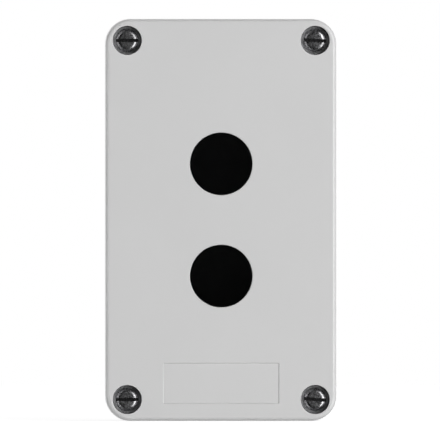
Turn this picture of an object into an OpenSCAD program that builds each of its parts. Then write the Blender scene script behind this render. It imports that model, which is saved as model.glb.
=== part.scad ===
// Control station case with two 22 mm cut-outs: a deep base, a screwed-on cover and what holds them.
// Every piece is drawn lying on its back: x right, y up the wall, z out of the wall, and then stood up.

/* [Case] */
// Width of the case across the front
case_w = 82.5; // [76:0.5:110]
// Height of the case
case_h = 143.5; // [136:0.5:200]
// Depth of the case from the wall to the front face
case_d = 64; // [58:0.5:90]
// Depth of the cover from its front face to the parting line
cover_d = 14; // [12:0.5:18]
// Radius of the upright corners
corner_r = 9; // [6:0.5:10]
// Draft angle of the cast sides, in degrees
draft = 1; // [0.25:0.25:1.5]
// Thickness of the side walls at the parting line
wall = 3.5; // [3:0.1:4.5]
// Thickness of the back
back_t = 3; // [2.5:0.1:5]
// Thickness of the front of the cover
front_t = 3; // [2:0.1:4]
// Fillet round the front edge
front_edge_r = 1.3; // [0.6:0.1:2.5]
// Fillet round the back edge
back_edge_r = 2; // [0.6:0.1:3]
// Width of the land that meets the wall
back_land = 5; // [3:0.5:5.5]
// Depth of the relief between the lands
back_relief = 0.8; // [0.4:0.1:1.2]

/* [Cut-outs] */
// Diameter of each cut-out for a control unit
cutout_d = 22.3; // [16.2:0.1:30.5]
// Distance between the centres of the cut-outs
cutout_pitch = 40; // [34:0.5:50]

/* [Label place] */
// Width of the recess for a label
label_w = 41.4; // [20:0.1:55]
// Height of the recess for a label
label_h = 14.6; // [8:0.1:18]
// Distance of the recess above the bottom of the case
label_rise = 6.25; // [4:0.05:10]
// Depth of the recess
label_depth = 0.4; // [0.2:0.1:1]
// Width of the slope round the recess
label_slope = 0.3; // [0.1:0.05:1]

/* [Seal] */
// Width of the sealing tongue on the base
tongue_w = 1.5; // [1:0.1:2]
// Height of the sealing tongue
tongue_h = 2.5; // [1.5:0.1:3]
// Width of the groove in the cover
groove_w = 2.6; // [2.2:0.1:3]
// Thickness of the gasket under the tongue
gasket_t = 1.5; // [1:0.1:2]
// Thickness of the rib inside the groove
rib_t = 1.5; // [1:0.1:2]
// Radius of the seal line round each cover screw
seal_reach = 7.6; // [7:0.1:8.5]
// Radius where the seal line turns from a side to a screw
seal_round = 3.5; // [3.4:0.1:4.5]

/* [Cover screws] */
// Distance of each cover screw from the sides of the case
screw_inset = 7.75; // [7:0.05:9]
// Diameter of the well over each cover screw
well_d = 10.3; // [9:0.1:11.5]
// Depth of the well below the front face
well_depth = 4.8; // [4:0.1:7]
// Diameter of the hole under the well
screw_hole_d = 4.5; // [4.2:0.1:5.5]
// Diameter of the screw head
head_d = 8; // [7:0.1:8.4]
// Diameter of the flat on top of the head
head_flat_d = 5.1; // [4:0.1:6]
// Slope of the head's shoulder, in degrees
head_slope = 17; // [8:1:25]
// Width and height of the bevel between the shoulder and the side of the head
head_bevel = 0.3; // [0.1:0.05:0.4]
// Height of the head
head_h = 2.4; // [1.8:0.1:3]
// Width of the screwdriver slot
slot_w = 1.2; // [0.8:0.1:1.6]
// Depth of the screwdriver slot
slot_depth = 1.1; // [0.6:0.1:1.4]
// Nominal diameter of the screw thread
thread_d = 4; // [3.5:0.1:4.5]
// Rise of the thread in one turn
thread_pitch = 0.7; // [0.5:0.05:0.75]
// Turns that take a cover screw out of its thread
screw_turns = 10; // [6:1:12]
// Diameter of the thin neck that the retaining ring grips
neck_d = 2.8; // [2.2:0.1:2.8]
// Diameter of the retaining ring
ring_d = 8; // [6:0.1:8.5]
// Thickness of the retaining ring
ring_t = 1; // [0.6:0.1:2]

/* [Wall fixings] */
// Distance of each fixing hole from the side of the case
fix_side = 18.25; // [16:0.25:22]
// Distance of each fixing hole from the top or bottom of the case
fix_end = 19.75; // [18:0.25:28]
// Diameter of each fixing hole
fix_hole_d = 5.2; // [4.3:0.1:6]
// Diameter of the pad round each fixing hole
fix_pad_d = 12; // [10:0.5:14]
// Height of the pad above the back
fix_pad_h = 1.5; // [0.5:0.1:3]
// Diameter of the seal washer on each pad
fix_seal_d = 10; // [8:0.1:10]
// Thickness of the seal washer
fix_seal_t = 1.5; // [1:0.1:3]

/* [Cable entries] */
// Modelled diameter of the entry thread, its tapping size
entry_d = 18.5; // [14.5:0.1:20]
// Depth of the entry thread
entry_depth = 7; // [6:0.1:9]
// Diameter of the way through the shoulder under the thread
entry_way_d = 16; // [15:0.1:17]
// Thickness of the shoulder under the thread
entry_shoulder_t = 2; // [1.5:0.1:3]
// Thickness of metal round the entry thread
entry_wall = 3.75; // [3:0.05:5]
// Width of the flat that is faced round each entry
entry_land = 4; // [2:0.1:5]
// Height of the entries above the wall
entry_z = 25; // [22:0.5:27]

/* [Entry plug] */
// Depth of the plug below the faced flat
plug_inset = 0.5; // [0.2:0.1:1.5]
// Thickness of the seal under the plug
plug_seal_t = 1; // [0.6:0.1:2]
// Diameter of the spigot that carries the seal
spigot_d = 14; // [12:0.1:14.5]
// Length of the spigot
spigot_h = 2.2; // [1.2:0.1:3]
// Width of the slot in the plug
plug_slot_w = 2.5; // [1.5:0.1:3]
// Depth of the slot in the plug
plug_slot_depth = 2; // [1:0.1:3]

/* [Earth terminal] */
// Distance of the earth terminal from the left side of the case
earth_side = 19.25; // [16:0.25:24]
// Distance of the earth terminal from the bottom of the case
earth_rise = 33.75; // [33:0.25:45]
// Height of the earth boss above the back
earth_boss_h = 8; // [7:0.5:12]
// Diameter of the earth boss
earth_boss_d = 8; // [7:0.1:9]
// Length of the earth screw under its head
earth_screw_l = 8; // [6:0.5:9]
// Thickness of the clamp plate
clamp_t = 1.2; // [0.8:0.1:2]
// Thickness of the ears of the clamp plate
clamp_ear_t = 0.9; // [0.5:0.1:1.5]
// Depth of the ears below the plate
clamp_ear_h = 1.2; // [0.5:0.1:2]
// Outer diameter of the spring lock washer
lock_d = 7.6; // [6:0.1:8]
// Thickness of the spring lock washer
lock_t = 0.9; // [0.6:0.1:1.2]

/* [Hidden] */
$fn = 64;

// Clearance between faces that meet, and on the radius of a thread or a neck
fit = 0.05;
// Clearance round a piece that moves past another
run = 0.3;
// Overrun of a cut past the face that it opens
over = 1;
// Overlap by which a fillet's arc crosses the faces that it joins
slip = 0.004;
// Chamfer on the ends of screws
chamfer = 0.5;
// Depth of a tapped hole below the end of its screw
tap_spare = 1.5;
// Share of the pitch between a thread's nominal and its middle diameter
mean_share = 0.65;
// Angles of the slots, left as the screwdriver left them: top left, top right, bottom left, bottom right
slot_turns = [0, -3, 0, 4];
plug_slot_turn = 35;
earth_slot_turn = 70;

// Which way each corner lies, in the order top left, top right, bottom left, bottom right
TOP_LEFT = [-1, 1];
TOP_RIGHT = [1, 1];
BOTTOM_LEFT = [-1, -1];
BOTTOM_RIGHT = [1, -1];

base_d = case_d - cover_d;
corner_x = case_w / 2 - corner_r;
corner_y = case_h / 2 - corner_r;
screw_x = case_w / 2 - screw_inset;
screw_y = case_h / 2 - screw_inset;
fix_x = case_w / 2 - fix_side;
fix_y = case_h / 2 - fix_end;
earth_x = earth_side - case_w / 2;
earth_y = earth_rise - case_h / 2;
label_y = label_rise + (label_h - case_h) / 2;

// The seal line runs along the walls, flush with their inner faces, and round the screws
seal_inset = wall - tongue_w / 2;
seal_side = screw_inset - seal_inset;
blend_x = seal_side - seal_round;
blend_y = -sqrt(pow(seal_reach + seal_round, 2) - pow(blend_x, 2));

thread_hole_d = thread_d - mean_share * thread_pitch;
shank_d = thread_hole_d - 2 * fit;
screw_rise = screw_turns * thread_pitch;
well_floor = case_d - well_depth;
head_seat = well_floor + fit;
ring_top = base_d - screw_rise - fit;
ring_floor = ring_top - ring_t - run;
screw_end = ring_floor - screw_rise;

entry_face = case_h / 2 - base_d * tan(draft);
entry_shoulder = entry_face - entry_depth;
entry_boss_d = entry_d + 2 * entry_wall;
plug_d = entry_d - 2 * fit;
plug_foot = entry_shoulder + plug_seal_t + 2 * fit;

fix_seat = back_t + fix_pad_h;
earth_top = back_t + earth_boss_h;
clamp_w = earth_boss_d + 2 * (run + clamp_ear_t);
lock_seat = earth_top + fit + clamp_t;
earth_seat = lock_seat + lock_t + fit;

casting_grey = [0.78, 0.78, 0.77];
casting_dark = [0.20, 0.21, 0.22];
steel = [0.52, 0.52, 0.54];
brass = [0.78, 0.64, 0.36];
rubber = [0.10, 0.10, 0.10];
nylon = [0.88, 0.87, 0.82];
black_nylon = [0.13, 0.13, 0.13];

// Stands a piece up: what was drawn as up the wall becomes +Z, and the front faces -Y
module stand_up() {
    rotate([90, 0, 0]) children();
}

// Puts the children at one corner of a rectangle, mirrored so that their +x and +y point outward
module at_corner(corner, x, y) {
    mirror([corner.x < 0 ? 1 : 0, 0, 0]) mirror([0, corner.y < 0 ? 1 : 0, 0])
        translate([x, y, 0]) children();
}

module at_all_corners(x, y) {
    for (corner = [TOP_LEFT, TOP_RIGHT, BOTTOM_LEFT, BOTTOM_RIGHT]) at_corner(corner, x, y) children();
}

// Rounded outline of the case at the parting line, moved in by an inset
module outline(inset) {
    r = corner_r - inset;
    square([case_w - 2 * corner_r, case_h - 2 * inset], center = true);
    square([case_w - 2 * inset, case_h - 2 * corner_r], center = true);
    at_all_corners(corner_x, corner_y) circle(r = r);
}

// Section of a casting from a corner's centre outward, from its closed face up to its rim
module casting_section(depth, edge_r) {
    face_r = corner_r - depth * tan(draft);
    centre_x = face_r - edge_r * (1 - sin(draft)) / cos(draft) + slip;
    centre_y = edge_r - slip;
    end_y = centre_y - edge_r * sin(draft);
    difference() {
        polygon([[0, 0], [face_r, 0], [corner_r, depth], [0, depth]]);
        difference() {
            polygon([
                [centre_x, -over], [face_r + over, -over], [face_r + over, end_y],
                [centre_x + edge_r * cos(draft), end_y], [centre_x, centre_y]
            ]);
            translate([centre_x, centre_y]) circle(r = edge_r);
        }
    }
}

// Solid body of a casting: its section turned round the corners and drawn along the sides
module casting_block(depth, edge_r) {
    for (quarter = [0:3]) {
        upright = quarter % 2 == 0;
        x = upright ? corner_x : corner_y;
        length = 2 * (upright ? corner_y : corner_x);
        rotate(90 * quarter) {
            translate([x, length / 2, 0]) {
                rotate_extrude(angle = 90) casting_section(depth, edge_r);
                rotate([90, 0, 0]) linear_extrude(length) casting_section(depth, edge_r);
            }
        }
    }
    translate([-corner_x, -corner_y, 0]) cube([2 * corner_x, 2 * corner_y, depth]);
}

// Area inside the seal line, shrunk by s: straight sides that turn in round each screw
module seal_area(s) {
    difference() {
        square([case_w - 2 * (seal_inset + s), case_h - 2 * (seal_inset + s)], center = true);
        at_all_corners(screw_x, screw_y) {
            square(seal_side + over - s);
            circle(r = seal_reach + s);
            seal_turn(s);
            mirror([1, -1, 0]) seal_turn(s);
        }
    }
}

// What is taken off between a side and the arc round a screw, so that the line turns smoothly
module seal_turn(s) {
    difference() {
        polygon([[0, 0], [blend_x, blend_y], [seal_side + over - s, blend_y], [seal_side + over - s, 0]]);
        translate([blend_x, blend_y]) circle(r = seal_round - s);
    }
}

// Band of a given width along the seal line
module seal_band(width) {
    difference() {
        seal_area(-width / 2);
        seal_area(width / 2);
    }
}

module base_casing() {
    color(casting_dark) stand_up() difference() {
        union() {
            difference() {
                casting_block(base_d, back_edge_r);
                translate([0, 0, back_t]) linear_extrude(base_d) seal_area(tongue_w / 2);
            }
            translate([0, 0, base_d - tongue_h]) linear_extrude(2 * tongue_h) seal_band(tongue_w);
            at_all_corners(fix_x, fix_y) cylinder(d = fix_pad_d, h = fix_seat);
            translate([earth_x, earth_y, 0]) cylinder(d = earth_boss_d, h = earth_top);
            entry_boss();
            mirror([0, 1, 0]) entry_boss();
        }
        back_relief_cut();
        at_all_corners(screw_x, screw_y) {
            translate([0, 0, ring_floor]) cylinder(d = ring_d + 2 * run, h = base_d);
            translate([0, 0, screw_end - tap_spare]) cylinder(d = thread_hole_d, h = base_d);
        }
        at_all_corners(fix_x, fix_y) translate([0, 0, -over])
            cylinder(d = fix_hole_d, h = fix_seat + 2 * over);
        translate([earth_x, earth_y, earth_seat - earth_screw_l - tap_spare])
            cylinder(d = thread_hole_d, h = earth_seat);
        entry_cut();
        mirror([0, 1, 0]) entry_cut();
    }
}

// Metal round a cable entry, carried down to the back as a casting needs
module entry_boss() {
    inner = entry_shoulder - entry_shoulder_t;
    length = case_h / 2 - wall / 2 - inner;
    translate([0, inner, entry_z]) rotate([-90, 0, 0]) cylinder(d = entry_boss_d, h = length);
    translate([-entry_boss_d / 2, inner, back_relief]) cube([entry_boss_d, length, entry_z - back_relief]);
}

module entry_cut() {
    translate([0, 0, entry_z]) rotate([-90, 0, 0]) {
        translate([0, 0, entry_face]) cylinder(d = entry_d + 2 * entry_land, h = case_h);
        translate([0, 0, entry_shoulder]) cylinder(d = entry_d, h = case_h);
        translate([0, 0, entry_shoulder - entry_shoulder_t - over]) cylinder(d = entry_way_d, h = case_h);
    }
}

// Shallow relief on the back that leaves a land all round and one round each fixing hole
module back_relief_cut() {
    translate([0, 0, -over]) linear_extrude(over + back_relief) difference() {
        outline(back_land + base_d * tan(draft));
        at_all_corners(fix_x, fix_y) circle(d = fix_pad_d);
    }
}

module cover() {
    rim = base_d + fit;
    color(casting_grey) stand_up() difference() {
        translate([0, 0, case_d]) mirror([0, 0, 1]) casting_block(case_d - rim, front_edge_r);
        translate([0, 0, rim - over]) linear_extrude(case_d - front_t - rim + over)
            seal_area(groove_w / 2 + rib_t);
        translate([0, 0, rim - over]) linear_extrude(over + tongue_h + gasket_t) seal_band(groove_w);
        for (side = [-1, 1]) translate([0, side * cutout_pitch / 2, base_d])
            cylinder(d = cutout_d, h = cover_d + over);
        at_all_corners(screw_x, screw_y) {
            translate([0, 0, well_floor]) cylinder(d = well_d, h = well_depth + over);
            translate([0, 0, base_d - over]) cylinder(d = screw_hole_d, h = cover_d);
        }
        translate([0, label_y, case_d]) label_cut();
    }
}

// Shallow tray with sloped sides and mitred corners
module label_cut() {
    intersection() {
        rotate([90, 0, 0]) linear_extrude(label_h + 2 * over, center = true) label_section(label_w);
        rotate([90, 0, 90]) linear_extrude(label_w + 2 * over, center = true) label_section(label_h);
    }
}

module label_section(width) {
    polygon([
        [-width / 2, over], [-width / 2, 0], [-width / 2 + label_slope, -label_depth],
        [width / 2 - label_slope, -label_depth], [width / 2, 0], [width / 2, over]
    ]);
}

module cover_gasket() {
    color(rubber) stand_up() translate([0, 0, base_d + tongue_h + fit])
        linear_extrude(gasket_t) seal_band(groove_w - 2 * fit);
}

// Slotted pan head, from its seat up
module slotted_head(turn) {
    shoulder_w = (head_d - head_flat_d) / 2 - head_bevel;
    shoulder_foot = head_h - shoulder_w * tan(head_slope);
    difference() {
        rotate_extrude() polygon([
            [0, 0], [head_d / 2, 0], [head_d / 2, shoulder_foot - head_bevel],
            [head_d / 2 - head_bevel, shoulder_foot], [head_flat_d / 2, head_h], [0, head_h]
        ]);
        rotate(turn) translate([-head_d / 2 - over, -slot_w / 2, head_h - slot_depth])
            cube([head_d + 2 * over, slot_w, slot_depth + over]);
    }
}

// Threaded end of a screw, from its top down, with a chamfered tip
module threaded_end(length) {
    translate([0, 0, -length + chamfer]) cylinder(d = shank_d, h = length - chamfer);
    translate([0, 0, -length]) cylinder(d1 = shank_d - 2 * chamfer, d2 = shank_d, h = chamfer);
}

module cover_screw(corner, turn) {
    thread_top = ring_top - ring_t - fit;
    color(steel) stand_up() at_corner(corner, screw_x, screw_y) {
        translate([0, 0, head_seat]) slotted_head(corner.x * corner.y * turn);
        translate([0, 0, thread_top - fit]) cylinder(d = neck_d, h = head_seat + 2 * fit - thread_top);
        translate([0, 0, thread_top]) threaded_end(thread_top - screw_end);
    }
}

module retaining_ring(corner) {
    color(nylon) stand_up() at_corner(corner, screw_x, screw_y) translate([0, 0, ring_top - ring_t])
        difference() {
            cylinder(d = ring_d, h = ring_t);
            translate([0, 0, -over]) cylinder(d = neck_d + 2 * fit, h = ring_t + 2 * over);
        }
}

module fixing_seal(corner) {
    color(rubber) stand_up() at_corner(corner, fix_x, fix_y) translate([0, 0, fix_seat])
        difference() {
            cylinder(d = fix_seal_d, h = fix_seal_t);
            translate([0, 0, -over]) cylinder(d = fix_hole_d, h = fix_seal_t + 2 * over);
        }
}

// Headless plug, screwed into the upper entry until it squeezes its seal on the shoulder
module entry_plug() {
    length = entry_face - plug_inset - plug_foot;
    color(black_nylon) stand_up() translate([0, plug_foot, entry_z]) rotate([-90, 0, 0]) difference() {
        union() {
            cylinder(d = plug_d, h = length);
            translate([0, 0, -spigot_h]) cylinder(d = spigot_d, h = spigot_h + over);
        }
        rotate(plug_slot_turn) translate([-plug_d / 2 - over, -plug_slot_w / 2, length - plug_slot_depth])
            cube([plug_d + 2 * over, plug_slot_w, plug_slot_depth + over]);
    }
}

module entry_plug_seal() {
    color(rubber) stand_up() translate([0, entry_shoulder + fit, entry_z]) rotate([-90, 0, 0]) difference() {
        cylinder(d = entry_d - 2 * run, h = plug_seal_t);
        translate([0, 0, -over]) cylinder(d = spigot_d + 2 * fit, h = plug_seal_t + 2 * over);
    }
}

module at_earth(z) {
    stand_up() translate([earth_x, earth_y, z]) children();
}

module earth_screw() {
    color(brass) at_earth(earth_seat) {
        slotted_head(earth_slot_turn);
        translate([0, 0, fit]) threaded_end(earth_screw_l + fit);
    }
}

// Spring washer, cut through at one side
module earth_lock_washer() {
    inner_d = shank_d + 2 * run;
    color(steel) at_earth(lock_seat) difference() {
        cylinder(d = lock_d, h = lock_t);
        translate([0, 0, -over]) cylinder(d = inner_d, h = lock_t + 2 * over);
        translate([0, -run, -over]) cube([lock_d, 2 * run, lock_t + 2 * over]);
    }
}

// Square plate whose two ears reach down beside the boss and keep the wire under the screw
module earth_clamp() {
    color(brass) at_earth(earth_top + fit) difference() {
        union() {
            translate([-clamp_w / 2, -clamp_w / 2, 0]) cube([clamp_w, clamp_w, clamp_t]);
            for (side = [0, 1]) mirror([side, 0, 0])
                translate([clamp_w / 2 - clamp_ear_t, -clamp_w / 2, -clamp_ear_h])
                    cube([clamp_ear_t, clamp_w, clamp_ear_h + clamp_t]);
        }
        translate([0, 0, -over]) cylinder(d = shank_d + 2 * run, h = clamp_t + 2 * over);
    }
}

base_casing();
cover();
cover_gasket();
cover_screw(TOP_LEFT, slot_turns[0]);  // cover_screw_top_left
cover_screw(TOP_RIGHT, slot_turns[1]);  // cover_screw_top_right
cover_screw(BOTTOM_LEFT, slot_turns[2]);  // cover_screw_bottom_left
cover_screw(BOTTOM_RIGHT, slot_turns[3]);  // cover_screw_bottom_right
retaining_ring(TOP_LEFT);  // retaining_ring_top_left
retaining_ring(TOP_RIGHT);  // retaining_ring_top_right
retaining_ring(BOTTOM_LEFT);  // retaining_ring_bottom_left
retaining_ring(BOTTOM_RIGHT);  // retaining_ring_bottom_right
fixing_seal(TOP_LEFT);  // fixing_seal_top_left
fixing_seal(TOP_RIGHT);  // fixing_seal_top_right
fixing_seal(BOTTOM_LEFT);  // fixing_seal_bottom_left
fixing_seal(BOTTOM_RIGHT);  // fixing_seal_bottom_right
entry_plug();
entry_plug_seal();
earth_screw();
earth_lock_washer();
earth_clamp();
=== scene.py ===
"""Looks of the control station case: finer meshes for what shows, materials, studio and camera.

Shapes are drawn in millimetres lying on the back (x right, y up the wall, z out of the wall), as the solids
are, and place() stands them up in the shared frame, in metres."""
import math

import bpy
import bmesh
from mathutils import Matrix, Vector
from mathutils.geometry import delaunay_2d_cdt


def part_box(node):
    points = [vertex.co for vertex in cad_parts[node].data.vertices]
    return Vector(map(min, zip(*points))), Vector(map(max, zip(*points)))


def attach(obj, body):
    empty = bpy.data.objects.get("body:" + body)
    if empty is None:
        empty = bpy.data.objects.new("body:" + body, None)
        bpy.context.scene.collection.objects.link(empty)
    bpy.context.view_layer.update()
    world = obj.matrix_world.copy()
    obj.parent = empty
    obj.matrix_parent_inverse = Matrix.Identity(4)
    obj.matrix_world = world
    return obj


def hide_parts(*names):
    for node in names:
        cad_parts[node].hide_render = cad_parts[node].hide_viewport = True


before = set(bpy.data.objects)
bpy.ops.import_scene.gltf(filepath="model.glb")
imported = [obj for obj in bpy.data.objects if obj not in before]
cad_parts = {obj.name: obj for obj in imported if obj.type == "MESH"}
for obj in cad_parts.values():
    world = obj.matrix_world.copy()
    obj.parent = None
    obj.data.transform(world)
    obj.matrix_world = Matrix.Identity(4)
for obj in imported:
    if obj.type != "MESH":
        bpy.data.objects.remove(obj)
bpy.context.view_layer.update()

MM = 0.001
CORNERS = {"top_left": (-1, 1), "top_right": (1, 1), "bottom_left": (-1, -1), "bottom_right": (1, -1)}
# Signs of x and y in the four quarters, anticlockwise from the upper right
QUARTERS = ((1, 1), (-1, 1), (-1, -1), (1, -1))


def node_mm(node):
    """Lowest and highest corner of a solid, as drawn: x right, y up the wall, z out of the wall."""
    low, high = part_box(node)
    return Vector((low.x, low.z, -high.y)) / MM, Vector((high.x, high.z, -low.y)) / MM


# Sizes of the case

cover_low, cover_high = node_mm("cover")
CASE_W = cover_high.x - cover_low.x
CASE_H = cover_high.y - cover_low.y
CASE_D = cover_high.z
RIM_Z = cover_low.z
CORNER_R = 9.0
DRAFT = math.radians(1.0)
FRONT_T = 3.0
INNER_Z = CASE_D - FRONT_T
FRONT_EDGE_R = 1.3
FRONT_EDGE_STEPS = 8
# Turn of the front edge's round about its centre in degrees, which moves its points by 0.0004 mm
FRONT_EDGE_TURN = 0.0174533
CEILING_R = 0.6
CUTOUT_R = 11.15
CUTOUT_PITCH = 40.0
CUTOUT_STEPS = 128
WELL_R = 5.15
WELL_DEPTH = 4.8
WELL_FOOT_R = 0.5
WELL_FOOT_STEPS = 6
WELL_STEPS = 64
# Mouth of a well: how far out from its wall, and how far below the front
WELL_MOUTH = ((0.24, 0), (0.10, 0.025), (0.025, 0.10), (0, 0.24), (0, 0.5))
SCREW_HOLE_R = 2.25
SEAT_BEVEL = 0.2
HOLE_END_BEVEL = 0.3

# Radius of the cover's small edges, and points of such a round as shares of it
EDGE_R = 0.25
EDGE_FROM_FACE = ((0, 0), (0.30, 0.04), (0.71, 0.29), (0.96, 0.70), (1, 1))
EDGE_FROM_WALL = ((0, 1), (0.3, 0.3), (1, 0))

LABEL_W = 41.4
LABEL_H = 14.6
LABEL_RISE = 6.25
LABEL_DEPTH = 0.4
LABEL_SLOPE = 0.3
LABEL_CORNER_R = 0.3
LABEL_LEAST_R = 0.05
# Sloped wall of the label place, eased at both ends: how far in from its outline, and how deep
LABEL_WALL = ((-0.04, 0), (0.015, 0.02), (LABEL_SLOPE - 0.015, LABEL_DEPTH - 0.02),
              (LABEL_SLOPE + 0.04, LABEL_DEPTH))

# Sizes of the seal line, the groove and the gasket

SEAL_INSET = 2.75
SEAL_REACH = 7.6
SEAL_ROUND = 3.5
TONGUE_H = 2.5
GROOVE_W = 2.6
RIB_T = 1.5
GASKET_T = 1.5
GASKET_W = 2.5
GASKET_BEVEL = 0.1
# Lower half of the gasket's section, from its side in to the dish: distance from the middle, and height
GASKET_FOOT = ((1.25, 0.35), (1.13, 0.1), (0.91, 0), (0.75, 0.02), (0.6, 0.1))

# Sizes of the screws

SCREW_INSET = 7.75
SCREW_X = CASE_W / 2 - SCREW_INSET
SCREW_Y = CASE_H / 2 - SCREW_INSET
EARTH_AT = (-22.0, -38.0)
HEAD_R = 4.0
HEAD_H = 2.4
HEAD_CENTRE_R = 0.15
HEAD_FLAT_R = 2.4
HEAD_EDGE = 0.2
HEAD_BEVEL = 0.12
# Slope of the head's shoulder in degrees, and its steps
HEAD_SLOPE_START = 5.0
HEAD_SLOPE_END = 31.5
HEAD_STEPS = 12
# Rim of the head: share of its edge outwards, and how far down
HEAD_RIM = ((0.4, 0.10), (0.75, 0.26), (0.95, 0.5), (1, 0.8))
SLOT_W = 1.2
SLOT_DEPTH = 1.1
# Turns of the slots in degrees
SLOT_TURNS = {"top_left": 0, "top_right": -3, "bottom_left": 0, "bottom_right": -4}
EARTH_SLOT_TURN = 70
NECK_R = 1.4
NECK_FILLET = 0.15
# Length of the thread's run into the neck, for each millimetre that the neck is thinner
NECK_RUN = 0.25 / 0.3
SHANK_STEPS = 36
TIP_BEVEL = 0.5
M4_PITCH = 0.7
M4_CREST_R = 1.7225
M4_DEPTH = 0.36
# Heights of a screw's tip, of the top of its thread and of its seat
COVER_SCREW_Z = (34.65, 41.9, 59.25)
EARTH_SCREW_Z = (5.2, 13.0, 13.2)

# Sizes of the entry plug

PLUG_R = 9.2
PLUG_PITCH = 1.5
PLUG_THREAD_DEPTH = 0.8
PLUG_STEPS = 72
SPIGOT_R = 7.0
SPIGOT_H = 2.2
# Radius and height of the spigot and of the thread's start
PLUG_START = ((SPIGOT_R - 0.3, 0), (SPIGOT_R, 0.3), (SPIGOT_R, SPIGOT_H - 0.15), (SPIGOT_R + 0.15, SPIGOT_H),
              (PLUG_R - 1.1, SPIGOT_H), (PLUG_R - 0.4, SPIGOT_H + 0.5))
# Dished top of the plug: how far in from its thread, and how far below its end
PLUG_TOP = ((0.4, 0.5), (0.9, 0.05), (1.0, 0), (2.0, 0), (2.15, 0.05), (2.3, 0.25), (2.5, 0.3))
# The thread's distance from the spigot and from the plug's end
PLUG_THREAD_START = 0.6
PLUG_THREAD_END = 0.7
PLUG_SLOT_W = 2.5
PLUG_SLOT_DEPTH = 2.0
PLUG_SLOT_TURN = 35

# Shares of a thread's pitch: its flat crest and its flank, and its fading at both ends
CREST_SHARE = 0.14
FLANK_SHARE = 0.68
FADE_AT_START = 0.5
FADE_AT_END = 0.35
# Share of the thread's depth at which it has faded out
FADED_DEPTH = 0.5
ROWS_PER_PITCH = 10


def place(x, y, z):
    return Vector((x, -z, y)) * MM


# Loops of points


def arc(cx, cy, r, start, end, steps):
    """Points along an arc, from start to end in degrees."""
    angles = [math.radians(start + (end - start) * i / steps) for i in range(steps + 1)]
    return [(cx + r * math.cos(angle), cy + r * math.sin(angle)) for angle in angles]


def circle_loop(cx, cy, r, steps):
    return arc(cx, cy, r, 0, 360, steps)[:-1]


def four_arcs(cx, cy, reach_x, reach_y, r, steps):
    """Quarter arcs of radius r about four centres, which lie reach_x and reach_y away from (cx, cy)."""
    points = []
    for quarter, (sx, sy) in enumerate(QUARTERS):
        start = 90 * quarter
        points += arc(cx + sx * reach_x, cy + sy * reach_y, r, start, start + 90, steps)
    return points


def case_loop(inset, steps=16):
    """Rounded outline of the case, moved in by inset. The corner centres stay where they are."""
    return four_arcs(0, 0, CASE_W / 2 - CORNER_R, CASE_H / 2 - CORNER_R, CORNER_R - inset, steps)


def rect_loop(cx, cy, w, h, r, steps=3):
    """Rectangle with corners of radius r."""
    return four_arcs(cx, cy, w / 2 - r, h / 2 - r, r, steps)


def seal_loop(shrink, steps=10):
    """The seal line shrunk by an amount: along the sides, and in round each screw."""
    round_x = SCREW_INSET - SEAL_INSET - SEAL_ROUND
    round_y = -math.sqrt((SEAL_REACH + SEAL_ROUND) ** 2 - round_x ** 2)
    lean = math.degrees(math.atan2(-round_y, -round_x))
    first = arc(round_x, round_y, SEAL_ROUND - shrink, 0, lean, steps)
    middle = arc(0, 0, SEAL_REACH + shrink, lean - 180, -90 - lean, 2 * steps)
    last = arc(round_y, round_x, SEAL_ROUND - shrink, 90 - lean, 90, steps)
    corner = first + middle[1:-1] + last
    points = []
    for sx, sy in QUARTERS:
        turned = [(sx * (SCREW_X + x), sy * (SCREW_Y + y)) for x, y in corner]
        points += turned if sx * sy > 0 else turned[::-1]
    return points


def quarter_round(face_z, r, steps=4):
    """Points (inset, z) of a round between a wall and a face at face_z, from the wall to the face."""
    angles = [math.radians(90 * i / steps) for i in range(steps + 1)]
    return [(r * (1 - math.cos(angle)), face_z + r * (1 - math.sin(angle))) for angle in angles]


# Meshes

# Kind of triangulation that keeps what lies inside the outer loop, holes too
TRIANGLES_INSIDE = 1
# Distance in millimetres below which two points are one
SAME_POINT = 1e-6


class Shape:
    """A mesh built from loops of points at given heights."""

    def __init__(self):
        self.mesh = bmesh.new()

    def loop(self, points, z):
        return [self.mesh.verts.new(place(x, y, z)) for x, y in points]

    def join(self, lower, upper):
        count = len(lower)
        for i in range(count):
            j = (i + 1) % count
            self.mesh.faces.new((lower[i], lower[j], upper[j], upper[i]))

    def stack(self, loops):
        """Joins each loop to the next and gives back the first and the last."""
        for lower, upper in zip(loops, loops[1:]):
            self.join(lower, upper)
        return loops[0], loops[-1]

    def fill(self, outer, holes=()):
        """Flat face between an outer loop and its holes, in the plane of x and y.

        The triangulation fills the holes as well, so the triangles in them are left out."""
        verts = list(outer)
        edges = [(i, (i + 1) % len(outer)) for i in range(len(outer))]
        for hole in holes:
            start = len(verts)
            verts += hole
            edges += [(start + i, start + (i + 1) % len(hole)) for i in range(len(hole))]
        filled = delaunay_2d_cdt(flat_points(verts), edges, [], TRIANGLES_INSIDE, SAME_POINT)
        points, _, faces, sources, _, _ = filled
        polygons = [flat_points(hole) for hole in holes]
        for face in faces:
            middle = sum((points[i] for i in face), Vector((0, 0))) / len(face)
            if not any(inside(middle, polygon) for polygon in polygons):
                self.mesh.faces.new([verts[sources[i][0]] for i in face])

    def plain(self, name):
        """The finished mesh as an object, with nothing else set."""
        bmesh.ops.recalc_face_normals(self.mesh, faces=self.mesh.faces)
        data = bpy.data.meshes.new(name)
        self.mesh.to_mesh(data)
        self.mesh.free()
        obj = bpy.data.objects.new(name, data)
        bpy.context.scene.collection.objects.link(obj)
        return obj


def flat_points(verts):
    """Points of the mesh as drawn, seen along the z of the drawing."""
    return [Vector((vert.co.x, vert.co.z)) / MM for vert in verts]


def inside(point, polygon):
    """Whether a point lies inside a closed loop of points."""
    odd = False
    for a, b in zip(polygon, polygon[1:] + polygon[:1]):
        if (a.y > point.y) != (b.y > point.y):
            if point.x < (b.x - a.x) * (point.y - a.y) / (b.y - a.y) + a.x:
                odd = not odd
    return odd


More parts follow.
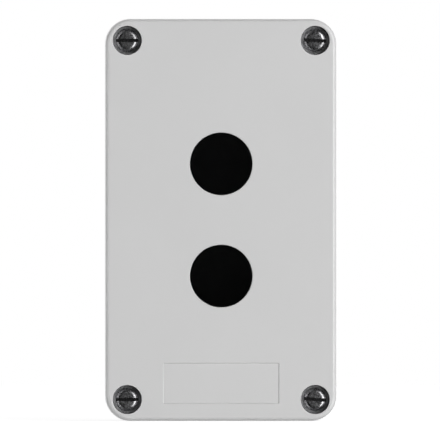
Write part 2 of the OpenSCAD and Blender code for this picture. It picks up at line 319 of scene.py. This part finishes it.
def lathe(shape, cx, cy, profile, steps):
    """Turns a profile of (radius, z) about the axis through (cx, cy)."""
    return shape.stack([shape.loop(circle_loop(cx, cy, r, steps), z) for r, z in profile])


def dress(obj, body, material, replaced, smooth_angle):
    """Gives a new piece its material, smooth shading and body, and hides the solid that it stands for."""
    obj.data.materials.clear()
    obj.data.materials.append(material)
    obj.data.shade_smooth()
    obj.data.set_sharp_from_angle(angle=math.radians(smooth_angle))
    weighted = obj.modifiers.new("weighted", "WEIGHTED_NORMAL")
    weighted.keep_sharp = True
    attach(obj, body)
    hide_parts(replaced)
    return obj


# Threads and slots

LATHE_STEPS = 72
# How far the slot's cutter reaches over the head
CUTTER_OVER = 1
# How near a point lies to the slot's floor, and how far past its walls, to be marked for the slot's painted
# shade
NEAR_FLOOR = 0.02
NEAR_WALL = 0.01


def thread_radius(phase, crest, depth):
    """Radius of a 60 degree thread at a phase from 0 to 1 along one pitch."""
    rise = min(phase, 1 - phase) * 2
    return crest - depth * min(1.0, max(0.0, (rise - CREST_SHARE) / FLANK_SHARE))


def thread(shape, cx, cy, low_z, high_z, pitch, crest, depth, steps):
    """Loops of a helical thread about the axis through (cx, cy), which fades out at both ends."""
    count = max(2, round((high_z - low_z) / pitch * ROWS_PER_PITCH))
    loops = []
    for i in range(count + 1):
        z = low_z + (high_z - low_z) * i / count
        fade = max(0.0, min(1.0, (z - low_z) / (FADE_AT_START * pitch), (high_z - z) / (FADE_AT_END * pitch)))
        points = []
        for k in range(steps):
            angle = 2 * math.pi * k / steps
            phase = ((z - low_z) / pitch - k / steps) % 1.0
            cut = (crest - thread_radius(phase, crest, depth)) * fade
            r = crest - depth * (1 - fade) * FADED_DEPTH - cut
            points.append((cx + r * math.cos(angle), cy + r * math.sin(angle)))
        loops.append(shape.loop(points, z))
    return loops


def slot_cutter(cx, cy, half_length, half_width, low_z, high_z):
    """A bar that fills a slot. Half its length and half its width are vectors."""
    shape = Shape()
    corners = [sx * half_length + sy * half_width for sx, sy in QUARTERS]
    points = [(cx + corner.x, cy + corner.y) for corner in corners]
    low, high = shape.stack([shape.loop(points, low_z), shape.loop(points, high_z)])
    shape.mesh.faces.new(low)
    shape.mesh.faces.new(high)
    return shape.plain("slot_cutter")


def cut_slot(obj, cx, cy, top_z, turn, radius, width, depth):
    """Cuts a slot across a head, turned by an angle in degrees, and marks its floor for a painted shade."""
    angle = math.radians(turn)
    along = Vector((math.cos(angle), math.sin(angle)))
    across = Vector((-math.sin(angle), math.cos(angle)))
    half_length = along * (radius + CUTTER_OVER)
    floor_z = top_z - depth
    cutter = slot_cutter(cx, cy, half_length, across * width / 2, floor_z, top_z + CUTTER_OVER)
    cutting = obj.modifiers.new("slot", "BOOLEAN")
    cutting.operation = "DIFFERENCE"
    cutting.solver = "EXACT"
    cutting.object = cutter
    bpy.context.view_layer.update()
    seen = obj.evaluated_get(bpy.context.evaluated_depsgraph_get())
    cut = bpy.data.meshes.new_from_object(seen)
    obj.modifiers.remove(cutting)
    obj.data = cut
    bpy.data.objects.remove(cutter)
    # Marks the slot's floor, which the material paints darker as painted shade
    mark = cut.attributes.new("painted_slot_shade", "FLOAT", "POINT")
    for vertex, value in zip(cut.vertices, mark.data):
        x, y, z = vertex.co.x / MM - cx, vertex.co.z / MM - cy, -vertex.co.y / MM
        off = abs(Vector((x, y)).dot(across))
        on_floor = off < width / 2 + NEAR_WALL and abs(z - floor_z) < NEAR_FLOOR
        value.value = 1.0 if on_floor else 0.0


# Screws


def head_profile(seat_z):
    """Half section (radius, z) of a slotted head: flat top, a shoulder that grows steeper, a plain side."""
    z = seat_z + HEAD_H
    rim = HEAD_R - HEAD_EDGE
    points = [(HEAD_CENTRE_R, z), (HEAD_FLAT_R, z)]
    step = (rim - HEAD_FLAT_R) / HEAD_STEPS
    for i in range(HEAD_STEPS):
        share = (i + 0.5) / HEAD_STEPS
        slope = HEAD_SLOPE_START + (HEAD_SLOPE_END - HEAD_SLOPE_START) * share
        z -= step * math.tan(math.radians(slope))
        points.append((HEAD_FLAT_R + step * (i + 1), z))
    points += [(rim + HEAD_EDGE * out, z - down) for out, down in HEAD_RIM]
    points += [(HEAD_R, seat_z + HEAD_BEVEL), (HEAD_R - HEAD_BEVEL, seat_z)]
    return points


def neck_profile(thread_top, seat_z, neck_r):
    """Radius and height of a screw between its thread and its head, where it may be thinner."""
    thinner = M4_CREST_R - neck_r
    if not thinner:
        return [(neck_r, seat_z)]
    return [(neck_r, thread_top + NECK_RUN * thinner), (neck_r, seat_z - NECK_FILLET),
            (neck_r + NECK_FILLET, seat_z)]


def slotted_screw(name, at, turn, heights, neck_r, material):
    """A slotted screw: turned head, plain neck and rolled thread with a chamfered tip."""
    cx, cy = at
    tip_z, thread_top, seat_z = heights
    shape = Shape()
    top, seat = lathe(shape, cx, cy, head_profile(seat_z), LATHE_STEPS)
    shape.fill(top)
    rows = thread(shape, cx, cy, tip_z + TIP_BEVEL, thread_top, M4_PITCH, M4_CREST_R, M4_DEPTH, SHANK_STEPS)
    tip = shape.loop(circle_loop(cx, cy, M4_CREST_R - TIP_BEVEL, SHANK_STEPS), tip_z)
    shape.stack([tip, *rows])
    shape.fill(tip)
    neck = [shape.loop(circle_loop(cx, cy, r, SHANK_STEPS), z)
            for r, z in neck_profile(thread_top, seat_z, neck_r)]
    shape.stack([rows[-1], *neck])
    shape.fill(seat, [neck[-1]])
    obj = shape.plain(f"{name}_turned")
    cut_slot(obj, cx, cy, seat_z + HEAD_H, turn, HEAD_R, SLOT_W, SLOT_DEPTH)
    dress(obj, name, material, name, smooth_angle=28)


def make_screws():
    for corner, (sx, sy) in CORNERS.items():
        at = (sx * SCREW_X, sy * SCREW_Y)
        slotted_screw(f"cover_screw_{corner}", at, SLOT_TURNS[corner], COVER_SCREW_Z, NECK_R, SCREW_STEEL)
    slotted_screw("earth_screw", EARTH_AT, EARTH_SLOT_TURN, EARTH_SCREW_Z, M4_CREST_R, BRASS)


# Entry plug


def make_plug():
    """The headless entry plug: spigot, thread with chamfered ends, dished top and a wide slot across it.

    It is turned about z first, and then laid so that its axis runs up the wall."""
    low, high = node_mm("entry_plug")
    length = high.y - low.y
    shape = Shape()
    first, shoulder = lathe(shape, 0, 0, PLUG_START, PLUG_STEPS)
    rows = thread(shape, 0, 0, SPIGOT_H + PLUG_THREAD_START, length - PLUG_THREAD_END, PLUG_PITCH, PLUG_R,
                  PLUG_THREAD_DEPTH, PLUG_STEPS)
    top = [shape.loop(circle_loop(0, 0, PLUG_R - inset, PLUG_STEPS), length - down)
           for inset, down in PLUG_TOP]
    shape.stack([shoulder, *rows, *top])
    shape.fill(first)
    shape.fill(top[-1])
    obj = shape.plain("entry_plug_moulded")
    cut_slot(obj, 0, 0, length, PLUG_SLOT_TURN, PLUG_R, PLUG_SLOT_W, PLUG_SLOT_DEPTH)
    middle = (low.z + high.z) / 2 * MM
    laid = Matrix(((1, 0, 0, 0), (0, 0, 1, -middle), (0, -1, 0, low.y * MM), (0, 0, 0, 1)))
    obj.data.transform(laid)
    dress(obj, "entry_plug", BLACK_NYLON, "entry_plug", smooth_angle=30)


# Gasket


def make_gasket():
    """The pressed ring in the groove: flat where it is bonded, dished where the tongue presses it."""
    low, high = node_mm("cover_gasket")
    side = [(GASKET_W / 2, high.z - GASKET_BEVEL)] + [(x, low.z + height) for x, height in GASKET_FOOT]
    top = GASKET_W / 2 - GASKET_BEVEL
    section = [(-x, z) for x, z in side] + side[::-1] + [(top, high.z), (-top, high.z)]
    shape = Shape()
    loops = [shape.loop(seal_loop(offset), z) for offset, z in section]
    shape.stack([*loops, loops[0]])
    dress(shape.plain("gasket_bead"), "cover", RUBBER, "cover_gasket", smooth_angle=50)


# Materials


def nodes_of(name):
    """A new material with its node tree, its shader and the object's own coordinates."""
    material = bpy.data.materials.new(name)
    material.use_nodes = True
    tree = material.node_tree
    tree.nodes.clear()
    out = tree.nodes.new("ShaderNodeOutputMaterial")
    shader = tree.nodes.new("ShaderNodeBsdfPrincipled")
    tree.links.new(shader.outputs["BSDF"], out.inputs["Surface"])
    coords = tree.nodes.new("ShaderNodeTexCoord")
    return material, tree, shader, coords.outputs["Object"]


def noise(tree, coords, size_mm, detail, roughness=0.5):
    """Noise whose features are about size_mm across."""
    texture = tree.nodes.new("ShaderNodeTexNoise")
    texture.inputs["Scale"].default_value = 1.0 / (size_mm * MM)
    texture.inputs["Detail"].default_value = detail
    texture.inputs["Roughness"].default_value = roughness
    tree.links.new(coords, texture.inputs["Vector"])
    return texture.outputs["Fac"]


def number(tree, value, low, high, start=0.3, end=0.7):
    """Maps a value from start..end to a number from low to high."""
    node = tree.nodes.new("ShaderNodeMapRange")
    for name, setting in (("From Min", start), ("From Max", end), ("To Min", low), ("To Max", high)):
        node.inputs[name].default_value = setting
    tree.links.new(value, node.inputs["Value"])
    return node.outputs["Result"]


def tint(tree, value, low, high, start=0.3, end=0.7):
    """Maps a value from start..end to a colour from low to high."""
    node = tree.nodes.new("ShaderNodeValToRGB")
    for stop, position, colour in zip(node.color_ramp.elements, (start, end), (low, high)):
        stop.position = position
        stop.color = (*colour, 1)
    tree.links.new(value, node.inputs["Fac"])
    return node.outputs["Color"]


def bump(tree, shader, value, height_mm, below=None):
    """Raises the surface by a value, on top of the bumps below it."""
    node = tree.nodes.new("ShaderNodeBump")
    node.inputs["Distance"].default_value = height_mm * MM
    tree.links.new(value, node.inputs["Height"])
    if below:
        tree.links.new(below, node.inputs["Normal"])
    tree.links.new(node.outputs["Normal"], shader.inputs["Normal"])
    return node.outputs["Normal"]


def shade(colour, factor):
    return tuple(min(1.0, c * factor) for c in colour)


def powder_coat(name, colour, roughness, specular):
    """Baked powder paint: a faint orange peel, finer grit in it, and slight drift of tone and gloss."""
    material, tree, shader, coords = nodes_of(name)
    drift = noise(tree, coords, size_mm=28.0, detail=3.0)
    tree.links.new(tint(tree, drift, shade(colour, 0.992), shade(colour, 1.008)), shader.inputs["Base Color"])
    gloss = noise(tree, coords, size_mm=9.0, detail=4.0, roughness=0.6)
    tree.links.new(number(tree, gloss, roughness - 0.012, roughness + 0.015), shader.inputs["Roughness"])
    peel = bump(tree, shader, noise(tree, coords, size_mm=1.1, detail=1.0), height_mm=0.012)
    bump(tree, shader, noise(tree, coords, size_mm=0.22, detail=2.0), height_mm=0.003, below=peel)
    shader.inputs["Specular IOR Level"].default_value = specular
    return material


def painted_slot_shade(tree, colour, shade_colour):
    """Darkens a colour where the mesh is marked: painted shade on a slot's floor."""
    marked = tree.nodes.new("ShaderNodeAttribute")
    marked.attribute_name = "painted_slot_shade"
    mix = tree.nodes.new("ShaderNodeMix")
    mix.data_type = "RGBA"
    tree.links.new(marked.outputs["Fac"], mix.inputs["Factor"])
    tree.links.new(colour, mix.inputs["A"])
    mix.inputs["B"].default_value = (*shade_colour, 1)
    return mix.outputs["Result"]


def turned_metal(name, colour, roughness, stained):
    """Turned metal: small dents, uneven gloss, painted shade on the slot's floor, and stains down to a share
    of the colour.
    """
    material, tree, shader, coords = nodes_of(name)
    stains = noise(tree, coords, size_mm=0.9, detail=4.0, roughness=0.65)
    plain = tint(tree, stains, shade(colour, stained), shade(colour, 1.25), start=0.36, end=0.66)
    # The slot's floor is painted down to a fifth of the colour: painted shade
    tree.links.new(painted_slot_shade(tree, plain, shade(colour, 0.2)), shader.inputs["Base Color"])
    gloss = noise(tree, coords, size_mm=0.5, detail=3.0)
    tree.links.new(number(tree, gloss, roughness - 0.08, roughness + 0.12), shader.inputs["Roughness"])
    dents = bump(tree, shader, noise(tree, coords, size_mm=0.7, detail=3.0, roughness=0.6), height_mm=0.006)
    bump(tree, shader, noise(tree, coords, size_mm=0.12, detail=1.0), height_mm=0.0006, below=dents)
    shader.inputs["Metallic"].default_value = 1.0
    return material


def faced_alloy(name, colour, roughness):
    """Bare cast alloy faced by a cutter, as the screw seats are: dull metal with fine marks."""
    material, tree, shader, coords = nodes_of(name)
    tone = noise(tree, coords, size_mm=0.8, detail=4.0, roughness=0.6)
    tree.links.new(tint(tree, tone, shade(colour, 0.7), shade(colour, 1.1)), shader.inputs["Base Color"])
    gloss = noise(tree, coords, size_mm=0.4, detail=3.0)
    tree.links.new(number(tree, gloss, roughness - 0.06, roughness + 0.14), shader.inputs["Roughness"])
    bump(tree, shader, noise(tree, coords, size_mm=0.2, detail=3.0, roughness=0.6), height_mm=0.004)
    shader.inputs["Metallic"].default_value = 1.0
    return material


def soft_rubber(name, colour):
    """Moulded rubber: nearly matt, with a fine skin and a trace of dust."""
    material, tree, shader, coords = nodes_of(name)
    dust = noise(tree, coords, size_mm=4.0, detail=5.0, roughness=0.7)
    dusty = tint(tree, dust, colour, shade(colour, 1.8), start=0.5, end=0.85)
    tree.links.new(dusty, shader.inputs["Base Color"])
    gloss = noise(tree, coords, size_mm=2.0, detail=2.0)
    tree.links.new(number(tree, gloss, 0.62, 0.78), shader.inputs["Roughness"])
    bump(tree, shader, noise(tree, coords, size_mm=0.15, detail=2.0), height_mm=0.006)
    return material


def moulded_nylon(name, colour, roughness):
    """Moulded nylon: satin skin with shallow sink and flow marks."""
    material, tree, shader, coords = nodes_of(name)
    tone = noise(tree, coords, size_mm=6.0, detail=3.0)
    tree.links.new(tint(tree, tone, shade(colour, 0.93), shade(colour, 1.07)), shader.inputs["Base Color"])
    gloss = noise(tree, coords, size_mm=1.5, detail=3.0)
    tree.links.new(number(tree, gloss, roughness - 0.05, roughness + 0.08), shader.inputs["Roughness"])
    flow = bump(tree, shader, noise(tree, coords, size_mm=3.0, detail=1.0), height_mm=0.02)
    bump(tree, shader, noise(tree, coords, size_mm=0.2, detail=2.0), height_mm=0.004, below=flow)
    return material


COVER_PAINT = powder_coat("cover_paint", (0.626, 0.626, 0.626), roughness=0.3, specular=0.6)
BASE_PAINT = powder_coat("base_paint", (0.13, 0.134, 0.139), roughness=0.36, specular=0.45)
BARE_ALLOY = faced_alloy("bare_alloy", (0.56, 0.56, 0.57), roughness=0.5)
SCREW_STEEL = turned_metal("screw_steel", (0.47, 0.47, 0.48), roughness=0.25, stained=0.5)
RUBBER = soft_rubber("seal_rubber", (0.018, 0.018, 0.019))
NYLON = moulded_nylon("ring_nylon", (0.72, 0.70, 0.62), roughness=0.4)
BLACK_NYLON = moulded_nylon("black_nylon", (0.022, 0.022, 0.023), roughness=0.42)
BRASS = turned_metal("earth_brass", (0.72, 0.52, 0.24), roughness=0.26, stained=0.8)


# The cover


def cover_outside(shape):
    """The outer skin, from the parting line up over the front edge. Gives its first and its last loop."""
    lean = math.tan(DRAFT)
    loops = [shape.loop(case_loop(EDGE_R), RIM_Z)]
    loops += [shape.loop(case_loop(inset), z) for inset, z in quarter_round(RIM_Z, EDGE_R)[-2:0:-1]]
    loops.append(shape.loop(case_loop(EDGE_R * lean), RIM_Z + EDGE_R))
    wall_inset = (CASE_D - RIM_Z - FRONT_EDGE_R) * lean
    for step in range(FRONT_EDGE_STEPS + 1):
        angle = math.radians(FRONT_EDGE_TURN + 90 * step / FRONT_EDGE_STEPS)
        inset = wall_inset + FRONT_EDGE_R * (1 - math.cos(angle))
        loops.append(shape.loop(case_loop(inset), CASE_D - FRONT_EDGE_R * (1 - math.sin(angle))))
    return shape.stack(loops)


def cutout(shape, cy):
    """A round cut-out through the front. Gives its loops in the front face and in the ceiling."""
    profile = [(CUTOUT_R + EDGE_R - EDGE_R * share_in, CASE_D - EDGE_R * share_down)
               for share_in, share_down in EDGE_FROM_FACE]
    profile += [(CUTOUT_R + EDGE_R * share_out, INNER_Z + EDGE_R * share_up)
                for share_out, share_up in EDGE_FROM_WALL]
    return lathe(shape, 0, cy, profile, CUTOUT_STEPS)


def screw_well(shape, cx, cy):
    """A screw well, its faced seat and the hole under it.

    Gives the loop of its mouth, the loop of the hole's end, and the numbers of the faces that are faced."""
    floor_z = CASE_D - WELL_DEPTH
    mouth = [(WELL_R + out, CASE_D - down) for out, down in WELL_MOUTH]
    seat = [(WELL_R - inset, z) for inset, z in quarter_round(floor_z, WELL_FOOT_R, WELL_FOOT_STEPS)]
    seat.append((SCREW_HOLE_R + SEAT_BEVEL, floor_z))
    hole = [(SCREW_HOLE_R, floor_z - SEAT_BEVEL), (SCREW_HOLE_R, RIM_Z + HOLE_END_BEVEL),
            (SCREW_HOLE_R + HOLE_END_BEVEL, RIM_Z)]
    mouth_loop, wall_loop = lathe(shape, cx, cy, mouth, WELL_STEPS)
    hole_loop, end_loop = lathe(shape, cx, cy, hole, WELL_STEPS)
    first_faced = len(shape.mesh.faces)
    seat_loops = [shape.loop(circle_loop(cx, cy, r, WELL_STEPS), z) for r, z in seat]
    shape.stack([wall_loop, *seat_loops, hole_loop])
    return mouth_loop, end_loop, range(first_faced, len(shape.mesh.faces))


def label_place(shape):
    """The shallow label place, bare. Gives its loop in the front face."""
    middle_y = LABEL_RISE + (LABEL_H - CASE_H) / 2
    loops = []
    for inset, depth in LABEL_WALL:
        corner_r = max(LABEL_LEAST_R, LABEL_CORNER_R - inset)
        points = rect_loop(0, middle_y, LABEL_W - 2 * inset, LABEL_H - 2 * inset, corner_r)
        loops.append(shape.loop(points, CASE_D - depth))
    outline, floor = shape.stack(loops)
    shape.fill(floor)
    return outline


def cover_inside(shape, rim_loop, ceiling_holes, rim_holes):
    """The ceiling, the rib, the groove for the gasket, and the rim."""
    half = GROOVE_W / 2
    rib = half + RIB_T
    groove_z = RIM_Z + TONGUE_H + GASKET_T
    cavity = [(rib + CEILING_R * out, INNER_Z - CEILING_R * down) for out, down in EDGE_FROM_WALL[::-1]]
    cavity += [(rib, RIM_Z + EDGE_R), (rib - EDGE_R, RIM_Z)]
    ceiling, rib_inner = shape.stack([shape.loop(seal_loop(shrink), z) for shrink, z in cavity])
    shape.fill(ceiling, ceiling_holes)
    wall = ((EDGE_R, RIM_Z), (0, RIM_Z + EDGE_R), (0, groove_z))
    inner_wall = [shape.loop(seal_loop(half + inset), z) for inset, z in wall]
    outer_wall = [shape.loop(seal_loop(-half - inset), z) for inset, z in wall]
    rib_outer, floor_inner = shape.stack(inner_wall)
    land_inner, floor_outer = shape.stack(outer_wall)
    shape.join(floor_inner, floor_outer)
    shape.join(rib_outer, rib_inner)
    shape.fill(rim_loop, [land_inner, *rim_holes])


def make_cover():
    shape = Shape()
    rim_loop, face_loop = cover_outside(shape)
    front_holes, ceiling_holes, rim_holes, faced = [], [], [], []
    for side in (-1, 1):
        front, ceiling = cutout(shape, side * CUTOUT_PITCH / 2)
        front_holes.append(front)
        ceiling_holes.append(ceiling)
    for sx, sy in CORNERS.values():
        mouth, end, seat_faces = screw_well(shape, sx * SCREW_X, sy * SCREW_Y)
        front_holes.append(mouth)
        rim_holes.append(end)
        faced += seat_faces
    front_holes.append(label_place(shape))
    shape.fill(face_loop, front_holes)
    cover_inside(shape, rim_loop, ceiling_holes, rim_holes)
    cover = dress(shape.plain("cover_shell"), "cover", COVER_PAINT, "cover", smooth_angle=35)
    cover.data.materials.append(BARE_ALLOY)
    for index in faced:
        cover.data.polygons[index].material_index = 1


# Carried-over solids

# Angles in degrees from which an edge is sharp, and from which it is rounded
SHARP_FROM = 30
ROUNDED_FROM = 40
ROUNDING_SEGMENTS = 3


def carry_over(node, material, round_mm):
    """Shows a solid as it is, with its edges rounded and a material of its own."""
    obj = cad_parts[node]
    obj.data.materials.clear()
    obj.data.materials.append(material)
    obj.data.shade_smooth()
    obj.data.set_sharp_from_angle(angle=math.radians(SHARP_FROM))
    rounding = obj.modifiers.new("rounding", "BEVEL")
    rounding.width = round_mm * MM
    rounding.segments = ROUNDING_SEGMENTS
    rounding.limit_method = "ANGLE"
    rounding.angle_limit = math.radians(ROUNDED_FROM)
    rounding.use_clamp_overlap = False
    rounding.harden_normals = True


def carry_over_all():
    carry_over("base_casing", BASE_PAINT, round_mm=0.25)
    carry_over("entry_plug_seal", RUBBER, round_mm=0.2)
    carry_over("earth_lock_washer", SCREW_STEEL, round_mm=0.1)
    carry_over("earth_clamp", BRASS, round_mm=0.15)
    for corner in CORNERS:
        carry_over(f"retaining_ring_{corner}", NYLON, round_mm=0.15)
        carry_over(f"fixing_seal_{corner}", RUBBER, round_mm=0.3)


# Camera

PHOTO_PX = 440
PX_PER_MM = 2.8007
CENTRE_PX = (220.6, 219.95)
CAMERA_DISTANCE = 7000.0
CAMERA_LEFT_DEG = 0.9
SENSOR_MM = 36.0
SEEN_TO_M = 50.0


def make_camera():
    """A long lens just left of straight ahead, scaled so that the outline has the photograph's size."""
    data = bpy.data.cameras.new("camera")
    camera = bpy.data.objects.new("camera", data)
    view_mm = PHOTO_PX / PX_PER_MM
    data.sensor_width = SENSOR_MM
    data.lens = data.sensor_width * CAMERA_DISTANCE / view_mm
    data.clip_end = SEEN_TO_M
    middle_px = PHOTO_PX / 2
    x = (middle_px - CENTRE_PX[0]) / PX_PER_MM
    y = (CENTRE_PX[1] - middle_px) / PX_PER_MM
    aside = CAMERA_DISTANCE * math.tan(math.radians(CAMERA_LEFT_DEG))
    camera.location = place(x - aside, y, RIM_Z + CAMERA_DISTANCE)
    camera.rotation_euler = (math.radians(90), 0, -math.radians(CAMERA_LEFT_DEG))
    bpy.context.scene.collection.objects.link(camera)
    bpy.context.scene.camera = camera


# Studio

# Azimuth and elevation of the softboxes in degrees: azimuth 0 is at the camera, positive to the right
KEY_AT = (40, 3)
FILL_AT = (-62, 0)
# Distance of the softboxes from the middle of the front, in metres
LIT_DISTANCE = 2.23
MIRRORED_DISTANCE = 2.2
# The room's directions and their brightness: 0 is towards the camera, 0.5 to the sides and 1 behind the case
ROOM = ((0.0, 0.06), (0.010, 0.06), (0.022, 0.008), (0.13, 0.008), (0.34, 0.12), (0.50, 0.20), (0.62, 0.60))
# Where the white behind the case starts and is full in gloss: 0 is to the sides and 1 straight behind
BACKDROP_START = 0.3
BACKDROP_FULL = 0.8
FLOOR_TONE = 0.5
FLOOR_LIFT = 0.82
FLOOR_HALF_M = 1.5
FLOOR_GAP_M = 0.00005


def softbox(name, at, size_m, power, mirrored):
    """A softbox that faces the middle of the case.

    A mirrored one shows in gloss and metal only, and any other lights without being mirrored, so that the
    flat paint doesn't glare in the views where it mirrors a softbox. The mirrored one stands in front of the
    other, because two in one place aren't both seen."""
    data = bpy.data.lights.new(name, "AREA")
    data.shape = "RECTANGLE"
    data.size, data.size_y = size_m
    data.energy = power
    obj = bpy.data.objects.new(name, data)
    obj.visible_diffuse = not mirrored
    obj.visible_glossy = mirrored
    azimuth, elevation = math.radians(at[0]), math.radians(at[1])
    level = math.cos(elevation)
    away = Vector((math.sin(azimuth) * level, -math.cos(azimuth) * level, math.sin(elevation)))
    distance = MIRRORED_DISTANCE if mirrored else LIT_DISTANCE
    obj.location = away * distance + place(0, 0, CASE_D)
    obj.rotation_euler = away.to_track_quat("Z", "Y").to_euler()
    bpy.context.scene.collection.objects.link(obj)


def grey(value):
    return (value, value, value, 1)


def room_of(tree, y):
    """The room's brightness by a direction's y, which is -1 towards the camera and 1 behind the case."""
    share = number(tree, y, 0.0, 1.0, start=-1.0, end=1.0)
    node = tree.nodes.new("ShaderNodeValToRGB")
    tree.links.new(share, node.inputs["Fac"])
    stops = node.color_ramp.elements
    given = len(stops)
    for index, (position, value) in enumerate(ROOM):
        stop = stops[index] if index < given else stops.new(position)
        stop.position = position
        stop.color = grey(value)
    return node.outputs["Color"]


def maths(tree, operation, first, second):
    """A sum, a product or the larger of two values, kept from 0 to 1."""
    node = tree.nodes.new("ShaderNodeMath")
    node.operation = operation
    node.use_clamp = True
    tree.links.new(first, node.inputs[0])
    tree.links.new(second, node.inputs[1])
    return node.outputs["Value"]


def mirrored_ray(tree, path):
    """1 for a ray that gloss, metal or glass sends on, and 0 for any other."""
    return maths(tree, "ADD", path.outputs["Is Glossy Ray"], path.outputs["Is Transmission Ray"])


def make_world():
    """White for the eye, and a room that is dark round the camera and light behind the case.

    Gloss, metal and glass show that white too, where they mirror what lies behind the case."""
    world = bpy.data.worlds.new("studio")
    bpy.context.scene.world = world
    world.use_nodes = True
    tree = world.node_tree
    tree.nodes.clear()
    out = tree.nodes.new("ShaderNodeOutputWorld")
    coords = tree.nodes.new("ShaderNodeTexCoord")
    split = tree.nodes.new("ShaderNodeSeparateXYZ")
    tree.links.new(coords.outputs["Generated"], split.inputs[0])
    room = tree.nodes.new("ShaderNodeBackground")
    tree.links.new(room_of(tree, split.outputs["Y"]), room.inputs["Color"])
    white = tree.nodes.new("ShaderNodeBackground")
    white.inputs["Color"].default_value = grey(1)
    path = tree.nodes.new("ShaderNodeLightPath")
    behind = number(tree, split.outputs["Y"], 0.0, 1.0, BACKDROP_START, BACKDROP_FULL)
    in_gloss = maths(tree, "MULTIPLY", mirrored_ray(tree, path), behind)
    shown = maths(tree, "MAXIMUM", path.outputs["Is Camera Ray"], in_gloss)
    both = tree.nodes.new("ShaderNodeMixShader")
    tree.links.new(shown, both.inputs["Fac"])
    tree.links.new(room.outputs[0], both.inputs[1])
    tree.links.new(white.outputs[0], both.inputs[2])
    tree.links.new(both.outputs[0], out.inputs["Surface"])


def floor_material():
    """Pale grey. What the eye sees of it is lifted to white, and the shadow stays."""
    material = bpy.data.materials.new("floor")
    material.use_nodes = True
    tree = material.node_tree
    tree.nodes.clear()
    out = tree.nodes.new("ShaderNodeOutputMaterial")
    diffuse = tree.nodes.new("ShaderNodeBsdfDiffuse")
    diffuse.inputs["Color"].default_value = grey(FLOOR_TONE)
    lift = tree.nodes.new("ShaderNodeEmission")
    lift.inputs["Color"].default_value = grey(FLOOR_LIFT)
    path = tree.nodes.new("ShaderNodeLightPath")
    shown = maths(tree, "MAXIMUM", path.outputs["Is Camera Ray"], mirrored_ray(tree, path))
    tree.links.new(shown, lift.inputs["Strength"])
    both = tree.nodes.new("ShaderNodeAddShader")
    tree.links.new(diffuse.outputs[0], both.inputs[0])
    tree.links.new(lift.outputs[0], both.inputs[1])
    tree.links.new(both.outputs[0], out.inputs["Surface"])
    return material


def make_floor():
    """A pale floor under the case.

    The lights reach below its level, as they do round a case that stands on a narrow ledge. So it blocks none
    of them, and isn't mirrored."""
    z = cover_low.y * MM - FLOOR_GAP_M
    mesh = bpy.data.meshes.new("floor")
    mesh.from_pydata([(sx * FLOOR_HALF_M, sy * FLOOR_HALF_M, z) for sx, sy in QUARTERS], [], [(0, 1, 2, 3)])
    mesh.materials.append(floor_material())
    floor = bpy.data.objects.new("floor", mesh)
    bpy.context.scene.collection.objects.link(floor)
    floor.visible_shadow = False
    floor.visible_glossy = False


def make_studio():
    make_world()
    make_floor()
    softbox("key", KEY_AT, size_m=(0.9, 2.6), power=56.8, mirrored=False)
    softbox("key_mirrored", KEY_AT, size_m=(1.4, 2.6), power=45.0, mirrored=True)
    softbox("fill", FILL_AT, size_m=(0.4, 1.0), power=14.9, mirrored=False)
    softbox("fill_mirrored", FILL_AT, size_m=(0.4, 0.7), power=10.0, mirrored=True)
    bpy.context.scene.view_settings.view_transform = "Standard"


make_camera()
make_cover()
make_screws()
make_plug()
make_gasket()
carry_over_all()
make_studio()
